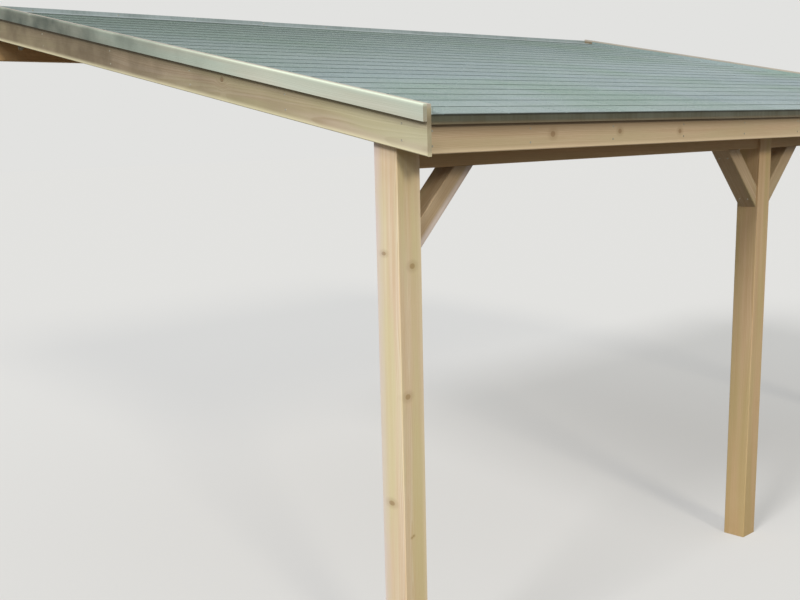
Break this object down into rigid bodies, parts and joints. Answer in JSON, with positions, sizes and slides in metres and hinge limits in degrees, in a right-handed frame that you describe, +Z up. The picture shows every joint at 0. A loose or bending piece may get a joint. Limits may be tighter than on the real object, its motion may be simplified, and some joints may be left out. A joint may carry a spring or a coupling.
{
  "type": "lean-to carport",
  "caption": "Open lean-to carport: a low-pitched shingled roof carried by a wall plate and a row of braced square timber posts.",
  "frame": {"origin": "centre of the wall plate's back face, on the wall", "axes": "+X along the wall, to the right as seen from the open side; +Y into the wall; +Z up; the ground is at Z = -2.654028 m"},
  "size_m": [5.253, 3.24, 2.8751],
  "materials": {
    "post_timber": "planed softwood, bare",
    "frame_timber": "sawn softwood",
    "deck_timber": "planed boarding",
    "fascia_timber": "planed softwood with knots",
    "barge_timber": "planed softwood, pale",
    "trim_timber": "pale, slightly green treated strip",
    "shingle_felt": "mineral-surfaced bitumen felt, sage green",
    "drip_metal": "dark olive brown coating",
    "flashing_metal": "dull grey"
  },
  "bodies": {
    "root": {"post_left": "post_timber", "post_middle": "post_timber", "post_right": "post_timber", "header_left": "frame_timber", "header_right": "frame_timber", "wall_plate": "frame_timber", "roof_deck": "deck_timber", "fascia": "fascia_timber", "eaves_drip": "drip_metal", "roof_covering": "shingle_felt", "wall_flashing": "flashing_metal", "brace_left": "post_timber", "brace_mid_left": "post_timber", "brace_mid_right": "post_timber", "brace_right": "post_timber", "rafter_1": "frame_timber", "rafter_2": "frame_timber", "rafter_3": "frame_timber", "rafter_4": "frame_timber", "rafter_5": "frame_timber", "rafter_6": "frame_timber", "rafter_7": "frame_timber", "rafter_8": "frame_timber", "rafter_9": "frame_timber", "rafter_10": "frame_timber", "rafter_11": "frame_timber", "noggin_1": "frame_timber", "noggin_2": "frame_timber", "noggin_3": "frame_timber", "noggin_4": "frame_timber", "noggin_5": "frame_timber", "noggin_6": "frame_timber", "noggin_7": "frame_timber", "noggin_8": "frame_timber", "noggin_9": "frame_timber", "noggin_10": "frame_timber", "bargeboard_left": "barge_timber", "verge_trim_left": "trim_timber", "bargeboard_right": "barge_timber", "verge_trim_right": "trim_timber"}
  },
  "joints": []
}
